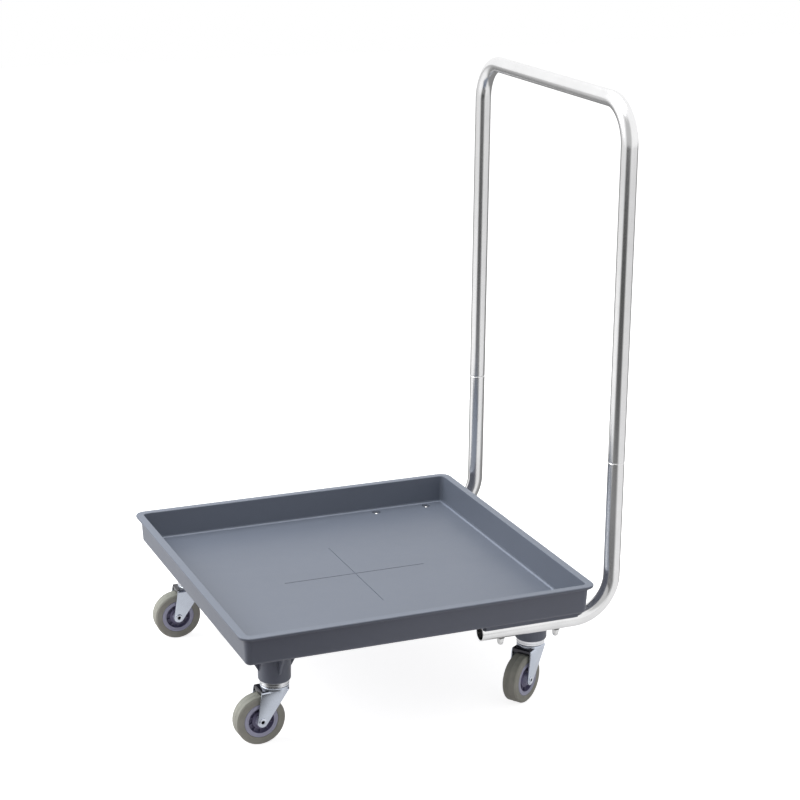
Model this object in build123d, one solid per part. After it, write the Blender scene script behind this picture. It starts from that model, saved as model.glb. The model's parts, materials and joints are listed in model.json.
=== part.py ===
"""Square tray dolly on four swivel casters, with a tube push handle at the rear.

Millimetres, +Z up, +Y towards the person pushing, Z = 0 on the floor.
The origin is the centre of the overall footprint.  Left is +X.
"""
import math
import os
from build123d import *

# ------------------------------------------------------------------ driving dimensions
# tray
TRAY_SIZE = 560.0
TRAY_FLOOR = 3.0
TRAY_DEPTH = 43.5
LIP_OVERHANG = 8.0
LIP_HEIGHT = 4.5
LIP_CORNER_R = 18.0
LIP_EDGE_R = 1.6
SKIN_DRAFT = 2.5
SKIN_CORNER_R = 11.0
BASE_EDGE_R = 5.5
RIM_WIDTH = 12.4
RIM_INNER_R = 1.4
WELL_DRAFT = 5.2
WELL_CORNER_TOP_R = 7.0
WELL_CORNER_BASE_R = 4.0
COVE_HEIGHT = 3.2
COVE_WIDTH = 3.4
LEDGE = 0.8
CROSS_LENGTH = 234.0
CROSS_WIDTH = 1.4
CROSS_DEPTH = 0.7

# caster bosses under the tray; the inset runs from the tray's edge to the caster's axis
BOSS_INSET = 73.0
BOSS_R = 24.2
BOSS_DROP = 53.5
BOSS_EDGE_R = 3.0
GUSSET_T = 3.2
GUSSET_REACH = 22.6
GUSSET_DROP = 38.5

# handle; the inset runs from the tray's edge to the tube's axis
TUBE_R = 12.5
TUBE_WALL = 1.5
HANDLE_INSET = 32.0
HANDLE_SETBACK = 40.0
HANDLE_TOP = 924.0
BEND_R = 62.5
JOINT_Z = 377.0
TUBE_END_R = 1.2
SPIGOT_LENGTH = 100.0
SPIGOT_WALL = 1.5

# lengths measured forward from the tray's rear edge
MOUTH_AHEAD = 178.3
SADDLE_FRONT_AHEAD = 174.0
SADDLE_REAR_AHEAD = 19.0
BOLTS_AHEAD = (144.0, 52.0)

# handle saddles under the tray
SADDLE_CROWN = 1.9
SADDLE_DEPTH = 6.8
SADDLE_OUTER_WALL = 1.8
SADDLE_INNER_WALL = 7.5
SADDLE_REAR_SLANT = 4.0
SADDLE_PLAY = 0.3

# handle fasteners, M6
BOLT_D = 6.0
BOLT_HEAD_D = 10.5
BOLT_HEAD_H = 2.0
BOLT_HEAD_EDGE_R = 1.2
WASHER_D = 12.5
WASHER_T = 1.6
NUT_AF = 10.0
NUT_HEX_H = 5.5
NUT_DOME_D = 9.2
NUT_BORE_DEPTH = 8.0

# casters: wheel
WHEEL_D = 75.0
WHEEL_W = 23.5
TRAIL = 25.0
CORE_R = 26.0
CORE_RIM_WALL = 6.5
RECESS_DEPTH = 7.5
HUB_WALL = 2.6
CORE_RIBS = 10
CORE_RIB_T = 1.6
TYRE_EDGE_R = 2.6

# casters: fork
FORK_T = 2.5
FORK_RISE = 9.3
FORK_BEND_R = 3.5
FORK_NOSE = 1.0
FORK_HEEL = 17.0
FORK_END_R = 8.0
DOME_R = 21.4
DOME_RISE = 4.0
DOME_SKIRT = 5.3
DOME_EDGE_R = 1.3

# casters: swivel race and king pin
CAP_R = 21.6
CAP_H = 6.8
CAP_TOP_T = 2.4
CAP_SKIRT_T = 2.0
CAP_EDGE_R = 0.8
BALL_D = 6.0
BALL_COUNT = 14
STEM_D = 12.0
STEM_UP = 28.0
STEM_HEAD_R = 13.0
STEM_HEAD_H = 3.2
STEM_HEAD_CHAMFER = 1.0
INSERT_WALL = 2.5
INSERT_END = 2.0

# casters: axle
AXLE_D = 8.0
AXLE_BORE_D = 4.6
AXLE_BORE_DEPTH = 10.0
AXLE_HEAD_D = 12.0
AXLE_HEAD_T = 1.4
AXLE_HEAD_EDGE_R = 0.8
SLEEVE_WALL = 2.0

# clearances
BOLT_HOLE_CLEAR = 0.3
COUNTERBORE_CLEAR = 2.0
HEAD_SINK = 0.3
RUN_FIT = 0.06
BALL_PLAY = 0.35
BALL_SKIRT_GAP = 2.0
SKIRT_GAP = 0.9
STEM_HEAD_GAP = 0.2
HUB_PLAY = 0.5
WHEEL_SIDE_GAP = 3.25
WHEEL_TOP_GAP = 1.5

# how far a boss, rib or block runs into the body that it grows from, and the least length that counts
ROOT = 1.5
TINY = 0.001

# how each caster stands: wheel axle turned from +X, in degrees
CASTER_TURN = {
    "front_left": 2.0,
    "front_right": -2.0,
    "rear_left": 33.0,
    "rear_right": 8.0,
}

# ------------------------------------------------------------------ derived sizes
# caster stack, from the floor up
AXLE_Z = WHEEL_D / 2
LIP_BASE_Z = WHEEL_D + WHEEL_TOP_GAP
FORK_TOP_Z = WHEEL_D + FORK_RISE
DOME_Z = FORK_TOP_Z + DOME_RISE
DOME_UNDER_Z = DOME_Z - FORK_T
STEM_HEAD_Z = DOME_UNDER_Z - STEM_HEAD_GAP
CAP_BASE_Z = DOME_Z + SKIRT_GAP
CASTER_Z = CAP_BASE_Z + CAP_H
CAP_SEAT_Z = CASTER_Z - CAP_TOP_T
BALL_Z = CAP_SEAT_Z - BALL_D / 2
BALL_RING_R = CAP_R - CAP_SKIRT_T - BALL_SKIRT_GAP - BALL_D / 2
LEG_INNER = WHEEL_W / 2 + WHEEL_SIDE_GAP
FORK_HALF = LEG_INNER + FORK_T
FORK_FRONT = TRAIL + FORK_NOSE
SLEEVE_R = AXLE_D / 2 + SLEEVE_WALL
HUB_BORE_R = SLEEVE_R + RUN_FIT
HUB_R = HUB_BORE_R + HUB_WALL
RECESS_R = CORE_R - CORE_RIM_WALL
INSERT_R = STEM_D / 2 + INSERT_WALL
INSERT_H = STEM_UP + INSERT_END

# tray
HALF = TRAY_SIZE / 2
TRAY_Y = -(HANDLE_SETBACK + TUBE_R) / 2
REAR_Y = TRAY_Y + HALF
BOSS_HALF = HALF - BOSS_INSET
UNDER_Z = CASTER_Z + BOSS_DROP
FLOOR_Z = UNDER_Z + TRAY_FLOOR
RIM_Z = FLOOR_Z + TRAY_DEPTH
LIP_Z = RIM_Z - LIP_HEIGHT
SKIN_HALF = HALF - LIP_OVERHANG
WELL_HALF = HALF - RIM_WIDTH
WELL_BASE_HALF = WELL_HALF - WELL_DRAFT
WELL_BASE_Z = FLOOR_Z + COVE_HEIGHT
COVE_TOP_HALF = WELL_BASE_HALF - LEDGE
FLAT_HALF = COVE_TOP_HALF - COVE_WIDTH
COVE_R = (COVE_WIDTH ** 2 + COVE_HEIGHT ** 2) / (2 * COVE_HEIGHT)

# handle
HANDLE_HALF = HALF - HANDLE_INSET
HANDLE_Y = REAR_Y + HANDLE_SETBACK
MOUTH_Y = REAR_Y - MOUTH_AHEAD
TUBE_BORE_R = TUBE_R - TUBE_WALL
LOWER_Z = UNDER_Z - SADDLE_CROWN - TUBE_R
TUBE_UNDER_Z = LOWER_Z - TUBE_R
HEAD_SEAT_Z = FLOOR_Z - BOLT_HEAD_H - HEAD_SINK
NUT_SEAT_Z = TUBE_UNDER_Z - WASHER_T


# ------------------------------------------------------------------ helpers
def rounded(half, corner, z):
    """A square face with rounded corners, centred on the tray, at height z."""
    return Pos(0, TRAY_Y, z) * RectangleRounded(2 * half, 2 * half, corner)


def rod(radius, length, x, y, z):
    """An upright cylinder standing on z."""
    return Pos(x, y, z) * Cylinder(radius, length, align=(Align.CENTER, Align.CENTER, Align.MIN))


def block(x0, x1, y0, y1, z0, z1):
    """A box between two corners."""
    return Pos((x0 + x1) / 2, (y0 + y1) / 2, (z0 + z1) / 2) * Box(x1 - x0, y1 - y0, z1 - z0)


def tube(path, start, direction, outer, inner):
    """A round tube along a path."""
    plane = Plane(origin=start, z_dir=direction)
    skin = sweep(plane * Circle(outer), path=path)
    bore = sweep(plane * Circle(inner), path=path)
    return skin - bore


def turned(profile):
    """A solid of revolution from (radius, height) points."""
    face = make_face(Plane.XZ * Polyline(*profile, close=True))
    return revolve(face, Axis.Z)


def circles(solid, radius, centre):
    """The circular edges of a solid with this radius around this centre."""
    return [e for e in solid.edges().filter_by(GeomType.CIRCLE)
            if abs(e.radius - radius) < TINY and (e.arc_center - Vector(*centre)).length < TINY]


# ------------------------------------------------------------------ tray
def tray_shell():
    """The outer skin with its lip, without the well."""
    skin = loft([rounded(SKIN_HALF - SKIN_DRAFT, SKIN_CORNER_R - SKIN_DRAFT, UNDER_Z),
                 rounded(SKIN_HALF, SKIN_CORNER_R, LIP_Z)])
    skin = fillet(skin.edges().group_by(Axis.Z)[0], BASE_EDGE_R)
    lip = extrude(rounded(HALF, LIP_CORNER_R, LIP_Z), LIP_HEIGHT)
    lip = fillet(lip.edges().group_by(Axis.Z)[0] + lip.edges().group_by(Axis.Z)[-1], LIP_EDGE_R)
    return skin + lip


def cove_strip(plane):
    """The space above the floor and its two facing coves, drawn on one plane."""
    low = (FLAT_HALF, FLOOR_Z)
    high = (COVE_TOP_HALF, WELL_BASE_Z)
    turn = math.acos(1 - COVE_HEIGHT / COVE_R)
    mid = (FLAT_HALF + COVE_R * math.sin(turn / 2), FLOOR_Z + COVE_R * (1 - math.cos(turn / 2)))
    right = ThreePointArc(low, mid, high)
    left = ThreePointArc((-low[0], low[1]), (-mid[0], mid[1]), (-high[0], high[1]))
    top = Line(high, (-high[0], high[1]))
    base = Line((-low[0], low[1]), low)
    return extrude(plane * make_face(base + right + top + left), TRAY_SIZE, both=True)


def tray_well():
    """The space inside the tray."""
    upper = loft([rounded(WELL_BASE_HALF, WELL_CORNER_BASE_R, WELL_BASE_Z),
                  rounded(WELL_HALF, WELL_CORNER_TOP_R, RIM_Z)])
    along_x = cove_strip(Plane(origin=(0, TRAY_Y, 0), x_dir=(0, 1, 0), z_dir=(1, 0, 0)))
    along_y = cove_strip(Plane(origin=(0, TRAY_Y, 0), x_dir=(1, 0, 0), z_dir=(0, -1, 0)))
    corner = extrude(rounded(COVE_TOP_HALF, WELL_CORNER_BASE_R, FLOOR_Z), COVE_HEIGHT)
    return upper + (along_x & along_y & corner)


def boss(sx, sy):
    """One caster boss with its gussets; the rear ones leave room for the handle tube."""
    x = sx * BOSS_HALF
    y = TRAY_Y + sy * BOSS_HALF
    post = rod(BOSS_R, BOSS_DROP + ROOT, x, y, CASTER_Z)
    post = fillet(post.edges().group_by(Axis.Z)[0], BOSS_EDGE_R)
    rib = make_face(Plane.XZ * Polyline(
        (BOSS_R - ROOT, UNDER_Z + ROOT), (BOSS_R + GUSSET_REACH, UNDER_Z + ROOT),
        (BOSS_R + GUSSET_REACH, UNDER_Z), (BOSS_R, UNDER_Z - GUSSET_DROP),
        (BOSS_R - ROOT, UNDER_Z - GUSSET_DROP), close=True))
    rib = extrude(rib, GUSSET_T / 2, both=True)
    for turn in (0, 90, 180, 270):
        outward = turn == (0 if sx > 0 else 180)
        if outward and sy > 0:
            continue
        post += Pos(x, y, 0) * Rot(0, 0, turn) * rib
    return post


def lower_path(x, z):
    """Centre line of a lower tube from its open front end to the joint."""
    start = (x, MOUTH_Y, z)
    return start, FilletPolyline(start, (x, HANDLE_Y, z), (x, HANDLE_Y, JOINT_Z), radius=BEND_R)


def saddle(sx):
    """The grooved block that seats one lower handle tube."""
    front = REAR_Y - SADDLE_FRONT_AHEAD
    rear = REAR_Y - SADDLE_REAR_AHEAD
    base = UNDER_Z - SADDLE_DEPTH
    outline = make_face(Plane.YZ * Polyline(
        (front, UNDER_Z + ROOT), (front, base), (rear - SADDLE_REAR_SLANT, base),
        (rear, UNDER_Z), (rear, UNDER_Z + ROOT), close=True))
    inner = HANDLE_HALF - TUBE_R - SADDLE_INNER_WALL
    outer = HANDLE_HALF + TUBE_R + SADDLE_OUTER_WALL
    return Pos(inner if sx > 0 else -outer, 0, 0) * extrude(outline, outer - inner)


def saddle_groove(sx):
    """The tube's own shape, a little larger and lower, so that it seats along its top."""
    start, path = lower_path(sx * HANDLE_HALF, LOWER_Z - SADDLE_PLAY)
    return sweep(Plane(origin=start, z_dir=(0, 1, 0)) * Circle(TUBE_R + SADDLE_PLAY), path=path)


def bolt_points():
    """Where the four handle bolts stand."""
    return [(sx * HANDLE_HALF, REAR_Y - ahead) for sx in (1, -1) for ahead in BOLTS_AHEAD]


def caster_points():
    """Name, place and turn of each caster."""
    side = {"left": 1, "right": -1}
    end = {"front": -1, "rear": 1}
    for name, turn in CASTER_TURN.items():
        row, hand = name.split("_")
        x = side[hand] * BOSS_HALF
        y = TRAY_Y + end[row] * BOSS_HALF
        yield name, x, y, turn


def make_tray():
    body = tray_shell()
    for sx in (1, -1):
        for sy in (1, -1):
            body += boss(sx, sy)
        body += saddle(sx)
        body -= saddle_groove(sx)
    body -= tray_well()
    rim = [e for e in body.edges() if abs(e.center().Z - RIM_Z) < TINY
           and max(abs(e.center().X), abs(e.center().Y - TRAY_Y)) < WELL_HALF + TINY]
    body = fillet(rim, RIM_INNER_R)
    arm = CROSS_LENGTH / 2
    line = CROSS_WIDTH / 2
    cut = FLOOR_Z - CROSS_DEPTH
    body -= block(-arm, arm, TRAY_Y - line, TRAY_Y + line, cut, RIM_Z)
    body -= block(-line, line, TRAY_Y - arm, TRAY_Y + arm, cut, RIM_Z)
    for x, y in bolt_points():
        body -= rod(BOLT_D / 2 + BOLT_HOLE_CLEAR, TRAY_DEPTH, x, y, LOWER_Z)
        body -= rod(BOLT_HEAD_D / 2 + COUNTERBORE_CLEAR, TRAY_DEPTH, x, y, HEAD_SEAT_Z)
    for name, x, y, turn in caster_points():
        body -= rod(INSERT_R, INSERT_H, x, y, CASTER_Z)
    return body


# ------------------------------------------------------------------ handle
def make_handle_upper():
    """The inverted U."""
    top = HANDLE_TOP - TUBE_R
    start = (HANDLE_HALF, HANDLE_Y, JOINT_Z)
    path = FilletPolyline(start, (HANDLE_HALF, HANDLE_Y, top), (-HANDLE_HALF, HANDLE_Y, top),
                          (-HANDLE_HALF, HANDLE_Y, JOINT_Z), radius=BEND_R)
    return tube(path, start, (0, 0, 1), TUBE_R, TUBE_BORE_R)


def make_handle_lower(sx):
    """One lower tube, bent forward under the tray and open at its front end."""
    x = sx * HANDLE_HALF
    start, path = lower_path(x, LOWER_Z)
    body = tube(path, start, (0, 1, 0), TUBE_R, TUBE_BORE_R)
    body = fillet(circles(body, TUBE_R, (x, HANDLE_Y, JOINT_Z)), TUBE_END_R)
    for ahead in BOLTS_AHEAD:
        body -= rod(BOLT_D / 2 + BOLT_HOLE_CLEAR, 2 * TUBE_R, x, REAR_Y - ahead, TUBE_UNDER_Z)
    return body


def make_spigots():
    """Sleeves inside the tubes, half in the lower and half in the upper tube."""
    outer = TUBE_BORE_R
    inner = outer - SPIGOT_WALL
    base = JOINT_Z - SPIGOT_LENGTH / 2
    parts = []
    for sx in (1, -1):
        sleeve = rod(outer, SPIGOT_LENGTH, sx * HANDLE_HALF, HANDLE_Y, base)
        parts.append(sleeve - rod(inner, SPIGOT_LENGTH, sx * HANDLE_HALF, HANDLE_Y, base))
    return Compound(children=parts)


# ------------------------------------------------------------------ handle fasteners
def make_bolts():
    """Shallow round heads in the counterbores, shanks down to the cap nuts."""
    tip = NUT_SEAT_Z - NUT_BORE_DEPTH
    parts = []
    for x, y in bolt_points():
        head = rod(BOLT_HEAD_D / 2, BOLT_HEAD_H, x, y, HEAD_SEAT_Z)
        head = fillet(head.edges().group_by(Axis.Z)[-1], BOLT_HEAD_EDGE_R)
        parts.append(head + rod(BOLT_D / 2, HEAD_SEAT_Z - tip, x, y, tip))
    return Compound(children=parts)


def make_washers():
    """Flat washers under the tubes."""
    parts = []
    for x, y in bolt_points():
        disc = rod(WASHER_D / 2, WASHER_T, x, y, NUT_SEAT_Z)
        parts.append(disc - rod(BOLT_D / 2, WASHER_T, x, y, NUT_SEAT_Z))
    return Compound(children=parts)


def make_nuts():
    """Domed cap nuts, open towards the washer."""
    base = NUT_SEAT_Z - NUT_HEX_H
    hexagon = RegularPolygon(NUT_AF / 2, 6, major_radius=False)
    parts = []
    for x, y in bolt_points():
        nut = Pos(x, y, base) * (extrude(hexagon, NUT_HEX_H) + Sphere(NUT_DOME_D / 2))
        parts.append(nut - rod(BOLT_D / 2, NUT_BORE_DEPTH, x, y, NUT_SEAT_Z - NUT_BORE_DEPTH))
    return Compound(children=parts)


def make_inserts():
    """Threaded bushes moulded into the bosses."""
    parts = []
    for name, x, y, turn in caster_points():
        bush = rod(INSERT_R, INSERT_H, x, y, CASTER_Z)
        parts.append(bush - rod(STEM_D / 2, STEM_UP, x, y, CASTER_Z))
    return Compound(children=parts)


# ------------------------------------------------------------------ caster, swivel on Z, wheel towards +Y
def make_stem():
    """King pin: a round head inside the fork crown, a shank up into the insert."""
    head = rod(STEM_HEAD_R, STEM_HEAD_H, 0, 0, STEM_HEAD_Z - STEM_HEAD_H)
    head = chamfer(head.edges().group_by(Axis.Z)[0], STEM_HEAD_CHAMFER)
    return head + rod(STEM_D / 2, CASTER_Z + STEM_UP - STEM_HEAD_Z, 0, 0, STEM_HEAD_Z)


def make_race_cap():
    """Upper race: a dished ring that covers the balls."""
    cap = turned([(STEM_D / 2, CAP_SEAT_Z), (CAP_R - CAP_SKIRT_T, CAP_SEAT_Z),
                  (CAP_R - CAP_SKIRT_T, CAP_BASE_Z), (CAP_R, CAP_BASE_Z),
                  (CAP_R, CASTER_Z), (STEM_D / 2, CASTER_Z)])
    outer = circles(cap, CAP_R, (0, 0, CAP_BASE_Z)) + circles(cap, CAP_R, (0, 0, CASTER_Z))
    return fillet(outer, CAP_EDGE_R)


def make_balls():
    """The ring of balls between cap and fork crown."""
    spots = PolarLocations(BALL_RING_R, BALL_COUNT)
    return Compound(children=[Pos(0, 0, BALL_Z) * spot * Sphere(BALL_D / 2) for spot in spots])


def fork_side():
    """Side outline of the fork: a wide crown narrowing to the axle end."""
    centre = Vector(TRAIL, AXLE_Z)
    outline = []
    for corner, sign in ((Vector(FORK_FRONT, FORK_TOP_Z), 1), (Vector(-FORK_HEEL, FORK_TOP_Z), -1)):
        gap = centre - corner
        lean = math.asin(FORK_END_R / gap.length)
        along = math.atan2(gap.Y, gap.X) + sign * lean
        run = gap.length * math.cos(lean)
        tangent = corner + Vector(math.cos(along), math.sin(along)) * run
        outline.append((corner, tangent))
    (front, low_front), (rear, low_rear) = outline
    leg = make_face(Polyline(front, low_front, centre, low_rear, rear, close=True))
    return leg + Pos(TRAIL, AXLE_Z) * Circle(FORK_END_R)


def make_fork():
    """Pressed fork: two legs, a crown with a raised race, a turned-down front lip."""
    side = Plane(origin=(0, 0, 0), x_dir=(0, 1, 0), z_dir=(1, 0, 0)) * fork_side()
    solid_side = extrude(side, FORK_HALF + DOME_R, both=True)
    outer = Pos(0, 0, FORK_TOP_Z / 2) * Box(2 * FORK_HALF, 4 * WHEEL_D, FORK_TOP_Z)
    outer = fillet(outer.edges().filter_by(Axis.Y).group_by(Axis.Z)[-1], FORK_BEND_R)
    inner_top = FORK_TOP_Z - FORK_T
    inner = Pos(0, 0, inner_top / 2) * Box(2 * LEG_INNER, 4 * WHEEL_D, inner_top)
    inner = fillet(inner.edges().filter_by(Axis.Y).group_by(Axis.Z)[-1], FORK_BEND_R - FORK_T)
    body = (outer - inner) & solid_side
    body += block(-LEG_INNER, LEG_INNER, FORK_FRONT - FORK_T, FORK_FRONT, LIP_BASE_Z, FORK_TOP_Z)
    body += rod(DOME_R, DOME_RISE + FORK_T, 0, 0, FORK_TOP_Z - FORK_T)
    rear = rod(DOME_R, DOME_SKIRT, 0, 0, FORK_TOP_Z - DOME_SKIRT)
    body += rear & block(-DOME_R, DOME_R, -DOME_R, 0, 0, FORK_TOP_Z)
    body -= rod(DOME_R - FORK_T, DOME_UNDER_Z, 0, 0, 0) & block(
        -DOME_R, DOME_R, -DOME_R, DOME_R, FORK_TOP_Z - DOME_SKIRT, DOME_UNDER_Z)
    body = fillet(circles(body, DOME_R, (0, 0, DOME_Z)), DOME_EDGE_R)
    body -= rod(STEM_D / 2 + RUN_FIT, DOME_Z, 0, 0, 0)
    body -= Pos(0, 0, BALL_Z) * Torus(BALL_RING_R, BALL_D / 2 + BALL_PLAY)
    body -= Pos(0, TRAIL, AXLE_Z) * Rot(0, 90, 0) * Cylinder(AXLE_D / 2, 4 * FORK_HALF)
    return body


def make_axle():
    """Hollow-ended rivet through both legs."""
    grip = 2 * FORK_HALF
    body = Cylinder(AXLE_D / 2, grip)
    for sign in (1, -1):
        body += Pos(0, 0, sign * (grip + AXLE_HEAD_T) / 2) * Cylinder(AXLE_HEAD_D / 2, AXLE_HEAD_T)
    tip = grip / 2 + AXLE_HEAD_T
    for sign in (1, -1):
        body = fillet(circles(body, AXLE_HEAD_D / 2, (0, 0, sign * tip)), AXLE_HEAD_EDGE_R)
    for sign in (1, -1):
        body -= Pos(0, 0, sign * (tip - AXLE_BORE_DEPTH / 2)) * Cylinder(AXLE_BORE_D / 2, AXLE_BORE_DEPTH)
    return Pos(0, TRAIL, AXLE_Z) * Rot(0, 90, 0) * body


def make_axle_sleeve():
    """Spacer between the legs; the wheel turns on it."""
    body = Cylinder(SLEEVE_R, 2 * LEG_INNER) - Cylinder(AXLE_D / 2, 2 * LEG_INNER)
    return Pos(0, TRAIL, AXLE_Z) * Rot(0, 90, 0) * body


def make_wheel_core():
    """Moulded core: rim, web, ribs and hub."""
    hub = 2 * (LEG_INNER - HUB_PLAY)
    web = WHEEL_W - 2 * RECESS_DEPTH
    body = Cylinder(CORE_R, WHEEL_W) - Cylinder(RECESS_R, WHEEL_W)
    body += Cylinder(RECESS_R + ROOT, web)
    ribs = WHEEL_W - RECESS_DEPTH
    for k in range(CORE_RIBS):
        rib = Pos((HUB_R + RECESS_R) / 2, 0, 0) * Box(RECESS_R - HUB_R + ROOT, CORE_RIB_T, ribs)
        body += Rot(0, 0, k * 360 / CORE_RIBS) * rib
    body += Cylinder(HUB_R, hub)
    body -= Cylinder(HUB_BORE_R, hub)
    return Pos(0, TRAIL, AXLE_Z) * Rot(0, 90, 0) * body


def make_tyre():
    """Grey rubber tyre with a flat tread and rounded shoulders."""
    body = Cylinder(WHEEL_D / 2, WHEEL_W)
    body = fillet(body.edges().filter_by(GeomType.CIRCLE), TYRE_EDGE_R)
    body -= Cylinder(CORE_R, WHEEL_W)
    return Pos(0, TRAIL, AXLE_Z) * Rot(0, 90, 0) * body


# ------------------------------------------------------------------ export
def save(shape, name):
    export_step(shape, os.path.join("parts", name + ".step"))


def main():
    os.makedirs("parts", exist_ok=True)
    save(make_tray(), "tray")
    save(make_handle_upper(), "handle_upper")
    save(make_handle_lower(1), "handle_lower_left")
    save(make_handle_lower(-1), "handle_lower_right")
    save(make_spigots(), "handle_spigots")
    save(make_bolts(), "handle_bolts")
    save(make_washers(), "handle_washers")
    save(make_nuts(), "handle_nuts")
    save(make_inserts(), "caster_inserts")
    pieces = {
        "stem": make_stem(),
        "race_cap": make_race_cap(),
        "race_balls": make_balls(),
        "fork": make_fork(),
        "axle": make_axle(),
        "axle_sleeve": make_axle_sleeve(),
        "wheel_core": make_wheel_core(),
        "tyre": make_tyre(),
    }
    for name, x, y, turn in caster_points():
        place = Pos(x, y, 0) * Rot(0, 0, 180 + turn)
        for piece, shape in pieces.items():
            save(place * shape, name + "_" + piece)


main()
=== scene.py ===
"""Square grey tray dolly with a chromed push handle.

Materials for the CAD pieces, detailed tubes, fasteners, forks and wheels in their place, light and camera.
"""
import bpy
import bmesh
import json
import math
from mathutils import Matrix, Vector


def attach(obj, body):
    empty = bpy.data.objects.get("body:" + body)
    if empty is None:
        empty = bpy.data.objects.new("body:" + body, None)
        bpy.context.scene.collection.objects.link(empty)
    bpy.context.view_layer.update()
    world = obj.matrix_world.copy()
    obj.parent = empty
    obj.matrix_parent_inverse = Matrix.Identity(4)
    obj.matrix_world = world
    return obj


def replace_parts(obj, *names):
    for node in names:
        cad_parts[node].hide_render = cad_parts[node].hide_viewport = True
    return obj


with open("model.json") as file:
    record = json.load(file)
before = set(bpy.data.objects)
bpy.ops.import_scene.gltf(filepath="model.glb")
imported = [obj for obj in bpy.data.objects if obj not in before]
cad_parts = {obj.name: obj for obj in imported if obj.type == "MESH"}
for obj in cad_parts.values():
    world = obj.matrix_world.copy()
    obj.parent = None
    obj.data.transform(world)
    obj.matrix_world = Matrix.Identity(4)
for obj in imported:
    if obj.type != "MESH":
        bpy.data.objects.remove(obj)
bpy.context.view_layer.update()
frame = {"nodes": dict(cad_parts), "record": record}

MM = 0.001
CASTERS = ("front_left", "front_right", "rear_left", "rear_right")
scene = bpy.context.scene
nodes = frame["nodes"]


# ------------------------------------------------------------------ node helpers
def calc(tree, kind, *values):
    """A Math node on numbers and sockets."""
    node = tree.nodes.new("ShaderNodeMath")
    node.operation = kind
    for socket, value in zip(node.inputs, values):
        if isinstance(value, (int, float)):
            socket.default_value = value
        else:
            tree.links.new(value, socket)
    return node.outputs[0]


def vector(tree, kind, *values):
    """A Vector Math node on tuples and sockets."""
    node = tree.nodes.new("ShaderNodeVectorMath")
    node.operation = kind
    for socket, value in zip(node.inputs, values):
        if isinstance(value, tuple):
            socket.default_value = value
        else:
            tree.links.new(value, socket)
    return node.outputs["Value" if kind in ("LENGTH", "DOT_PRODUCT") else "Vector"]


def smooth(tree, value, low, high, to_low=0.0, to_high=1.0):
    """A smooth Map Range."""
    node = tree.nodes.new("ShaderNodeMapRange")
    node.interpolation_type = "SMOOTHSTEP"
    for name, number in (("From Min", low), ("From Max", high), ("To Min", to_low), ("To Max", to_high)):
        node.inputs[name].default_value = number
    tree.links.new(value, node.inputs["Value"])
    return node.outputs[0]


def blend(tree, factor, a, b):
    """A Mix node on two colours, each a tuple or a socket."""
    node = tree.nodes.new("ShaderNodeMix")
    node.data_type = "RGBA"
    tree.links.new(factor, node.inputs["Factor"])
    ends = [socket for socket in node.inputs if socket.type == "RGBA"]
    for socket, value in zip(ends, (a, b)):
        if isinstance(value, tuple):
            socket.default_value = (*value, 1)
        else:
            tree.links.new(value, socket)
    return [socket for socket in node.outputs if socket.type == "RGBA"][0]


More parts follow.
